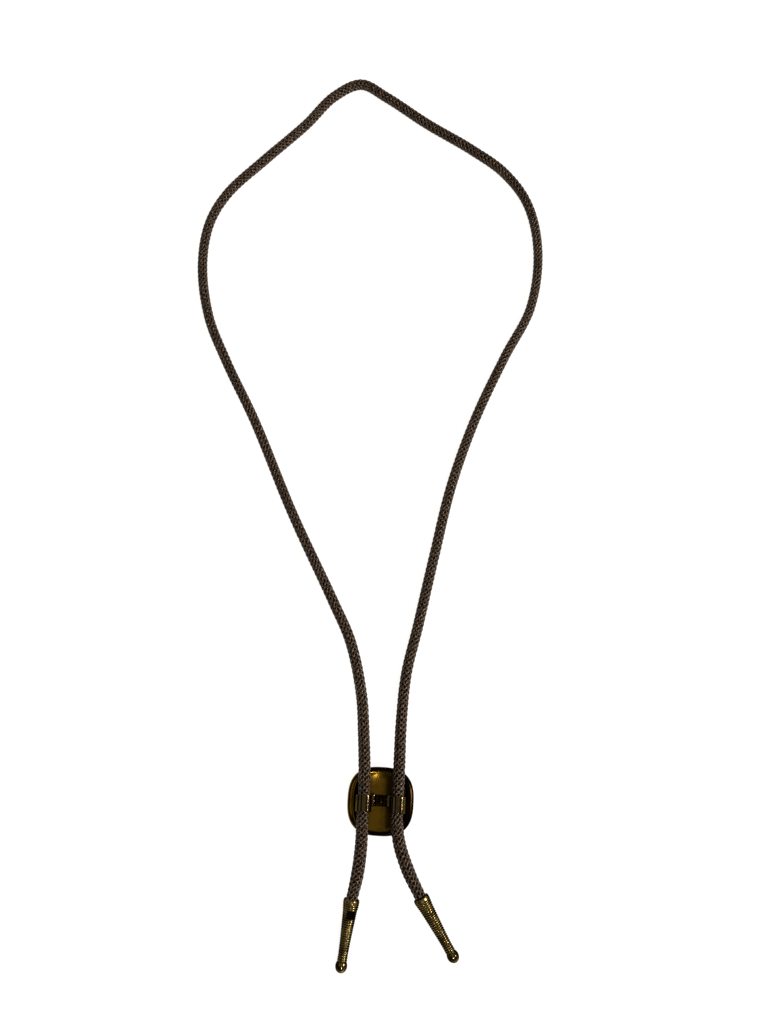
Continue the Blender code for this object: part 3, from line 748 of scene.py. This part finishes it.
def tipSection(s):
    # up the bore and over the rounded rim, then along the body, where the outline stands proud
    # between its plain ends and loses the rib depth times the squared cosine of pi times the
    # rib's number, and last round the ball's oval. Gives radius, depth, darkening and the ball's row
    bore, floor = s["boreRadius"], s["boreDepth"]
    rim = np.linspace(np.pi, np.pi / 2, s["rimRows"])
    wide = (s["mouthRadius"] * tipOutline[0, 1] - bore) / 2
    boreRadius = np.concatenate([[0.05 * bore, 0.7 * bore, bore, bore, bore],
                                 bore + wide * (1 + np.cos(rim))])
    boreDepth = np.concatenate([[floor, floor, floor - 0.1 * mm, 1.2 * mm, 0.5 * mm],
                                s["rimHeight"] * (1 - np.sin(rim))])
    share = np.concatenate([np.linspace(0.001, s["ribsFrom"], 16, endpoint=False),
                            np.linspace(s["ribsFrom"], s["ribsTo"], s["ribs"] * s["ribRows"] + 1)])
    rib = (share - s["ribsFrom"]) / (s["ribsTo"] - s["ribsFrom"]) * s["ribs"]
    groove = np.where(share >= s["ribsFrom"], np.cos(np.pi * rib) ** 2, 0.0)
    ribbed = smoothStep(share, s["ribsFrom"] - 0.02, s["ribsFrom"] + 0.03)
    ribbed = ribbed * smoothStep(-share, -s["ribsTo"], 0.04 - s["ribsTo"])
    body = np.interp(share, tipOutline[:, 0], tipOutline[:, 1]) * s["mouthRadius"]
    body -= 0.12 * mm * np.clip(1 - share / 0.004, 0, 1) ** 2  # the mouth's edge is rounded
    body += s["ribProud"] * ribbed
    start = math.asin(tipOutline[-1, 1] * s["mouthRadius"] / s["ballRadius"])
    ball = np.linspace(start, np.pi * 0.985, s["ballRows"])
    radius = np.concatenate([boreRadius, body - s["ribDepth"] * groove, s["ballRadius"] * np.sin(ball)])
    ballMiddle = s["length"] - s["ballHalf"]
    depth = np.concatenate([boreDepth, share * s["length"], ballMiddle - s["ballHalf"] * np.cos(ball)])
    # darker inside the bore, fading out over the rim; the grooves keep their oxide
    inBore = np.ones(len(boreRadius))
    inBore[-s["rimRows"]:] = np.linspace(0.8, 0, s["rimRows"])
    oxideAndShade = np.concatenate([s["boreDarkening"] * inBore, s["grooveGrime"] * groove,
                            np.full(len(ball), s["ballGrime"])])
    return radius, depth, oxideAndShade, len(boreRadius) + len(share)


def pressCrimp(s, sideways, upward, depth):
    # inside a square window, what stands higher than the crimp's floor is pressed down to it
    turn = math.radians(s["crimpTurn"])
    over = upward * math.cos(turn) + sideways * math.sin(turn)
    beside = sideways * math.cos(turn) - upward * math.sin(turn)
    middle, soft = s["crimpStart"] + s["crimpLength"] / 2, s["crimpSoftness"]
    outline = np.interp(middle / s["length"], tipOutline[:, 0], tipOutline[:, 1])
    floor = outline * s["mouthRadius"] - s["crimpDepth"]
    window = smoothStep(s["crimpWidth"] / 2 - np.abs(beside), -soft, soft)
    window = window * smoothStep(s["crimpLength"] / 2 - np.abs(depth - middle), -soft, soft)[:, None]
    window = window * (over > 0) * (depth > s["boreDepth"] + 0.2 * mm)[:, None]
    over = over - np.clip(over - floor, 0, None) * window
    upward = over * math.cos(turn) - beside * math.sin(turn)
    sideways = over * math.sin(turn) + beside * math.cos(turn)
    return sideways, upward, window


def makeTip(name, node, mouth, s, material, ballMaterial, crimped):
    # the section is turned round the tip's axis: radius times sine to the side, times cosine up
    radius, depth, sectionDarkening, ballRow = tipSection(s)
    angle = np.linspace(0, 2 * np.pi, s["columns"], endpoint=False)
    sideways = radius[:, None] * np.sin(angle)
    upward = radius[:, None] * np.cos(angle)
    # painted shade on the sides and underside, so that only the top stays bright
    oxideAndShade = sectionDarkening[:, None] + s["sideShade"] * smoothStep(-np.cos(angle), -0.85, -0.5)
    if crimped:
        sideways, upward, window = pressCrimp(s, sideways, upward, depth)
        oxideAndShade = oxideAndShade + s["crimpGrime"] * window
    centre, along, side, up = tipAxes(mouth, cordSettings)
    points = centre + depth[:, None, None] * along + sideways[..., None] * side + upward[..., None] * up
    piece = gridMesh(name, points, material, oxideAndShade=oxideAndShade)
    piece.data.materials.append(ballMaterial)
    # the faces run row by row, then come the bore's floor and the ball's end
    onBall = np.zeros(len(piece.data.polygons), np.int32)
    onBall[ballRow * s["columns"]:] = 1
    onBall[-2] = 0
    piece.data.polygons.foreach_set("material_index", onBall)
    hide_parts(node)
    return piece


tipBrass = makeBrass("ribbedAgedBrass", {
    "colors": ["#8f7b4a", "#4c3d1e", "#060402"], "blotch": 4 * mm, "lineTurn": 0.0,
    "rough": (0.20, 0.27), "dull": 0.08, "scratch": 0.15, "dent": 0.1})
ballBrass = makeBrass("polishedAgedBrass", {
    "colors": ["#8f7c52", "#3a2d14", "#060402"], "blotch": 4 * mm, "lineTurn": 0.0,
    "rough": (0.10, 0.14), "dull": 0.05, "scratch": 0.1, "dent": 0.1})
makeTip("tip_left_ribbed", "tip_left", cordSettings["leftMouth"], tipSettings, tipBrass, ballBrass, True)
makeTip("tip_right_ribbed", "tip_right", cordSettings["rightMouth"], tipSettings, tipBrass, ballBrass, False)
print("tips made")


# Floor, lights and surroundings

roomSettings = {
    "floorSize": 6.0,
    "floorColor": "#6c6b6a",
    "floorRoughness": 0.9,
    "floorGrain": 0.6 * mm,
    "glowColor": "#f7f6f4",
    "floorGlow": 1.03,
    "warmth": (1.0, 0.99, 0.97),
    "leftShare": 0.2,  # how bright the room's left side is beside its right side
    # the room's brightness by the sine of the height above the table
    "room": [(0.0, 1.00), (0.12, 0.90), (0.24, 0.14), (1.0, 0.12)],
    "lampAim": (0.0, 0.12, 0.0),
    "lights": [
        # name, place, width and height, power in watts
        ("keyRight", (1.24, 0.16, 0.98), (0.28, 0.28), 28.0),
        ("lowFront", (0.28, -0.84, 1.20), (0.15, 0.15), 8.0),
        ("ceilingPanel", (0.12, 0.42, 1.50), (0.70, 2.75), 2.7),
        ("leftWall", (-0.95, 0.10, 1.30), (0.70, 0.70), 1.0),
    ],
}


def makeFloor(s):
    # cast acrylic sheet, sanded matte and lit from below as on a light table, so that it looks
    # evenly pale and hardly any shadow shows
    material, tree, shader = newMaterial("paleLightTable")
    place = addNode(tree, "ShaderNodeTexCoord").outputs["Object"]
    grain = addNode(tree, "ShaderNodeTexNoise", {"Vector": place, "Scale": 1 / s["floorGrain"], "Detail": 2.0})
    bump = addNode(tree, "ShaderNodeBump", {"Height": grain.outputs["Fac"], "Strength": 0.1,
                                            "Distance": 0.02 * mm})
    tree.links.new(bump.outputs["Normal"], shader.inputs["Normal"])
    shader.inputs["Base Color"].default_value = linearColor(s["floorColor"])
    shader.inputs["Emission Color"].default_value = linearColor(s["glowColor"])
    shader.inputs["Emission Strength"].default_value = s["floorGlow"]
    shader.inputs["Roughness"].default_value = s["floorRoughness"]
    half = s["floorSize"] / 2
    mesh = bpy.data.meshes.new("floor")
    corners = [(-half, -half, 0), (half, -half, 0), (half, half, 0), (-half, half, 0)]
    mesh.from_pydata(corners, [], [(0, 1, 2, 3)])
    mesh.materials.append(material)
    floor = bpy.data.objects.new("floor", mesh)
    bpy.context.scene.collection.objects.link(floor)


def makeLights(s):
    # each lamp is tipped about X and then about Y, so that it faces the aim and keeps its sides
    # square to the table's
    for name, place, (width, height), power in s["lights"]:
        data = bpy.data.lights.new(name, "AREA")
        data.shape = "RECTANGLE"
        data.size = width
        data.size_y = height
        data.energy = power
        lamp = bpy.data.objects.new(name, data)
        lamp.location = place
        aim = unit(np.array(s["lampAim"]) - np.array(place))
        lamp.rotation_euler = (math.asin(aim[1]), math.atan2(-aim[0], -aim[2]), 0.0)
        bpy.context.scene.collection.objects.link(lamp)


def makeWorld(s):
    # a dim room, paler along the horizon and on its right side
    world = bpy.data.worlds.new("room")
    bpy.context.scene.world = world
    world.use_nodes = True
    tree = world.node_tree
    tree.nodes.clear()
    look = addNode(tree, "ShaderNodeTexCoord").outputs["Generated"]
    parts = addNode(tree, "ShaderNodeSeparateXYZ", {0: look}).outputs
    stops = [(place, tuple(strength * share for share in s["warmth"]) + (1.0,))
             for place, strength in s["room"]]
    ramp = addNode(tree, "ShaderNodeValToRGB", {"Fac": parts["Z"]}, stops)
    side = addNode(tree, "ShaderNodeMapRange", {"Value": parts["X"], "From Min": -0.6, "From Max": 0.6,
                                                "To Min": s["leftShare"]}).outputs["Result"]
    back = addNode(tree, "ShaderNodeBackground", {"Color": ramp.outputs["Color"], "Strength": side})
    addNode(tree, "ShaderNodeOutputWorld", {"Surface": back.outputs["Background"]})


makeFloor(roomSettings)
makeLights(roomSettings)
makeWorld(roomSettings)
print("room made")
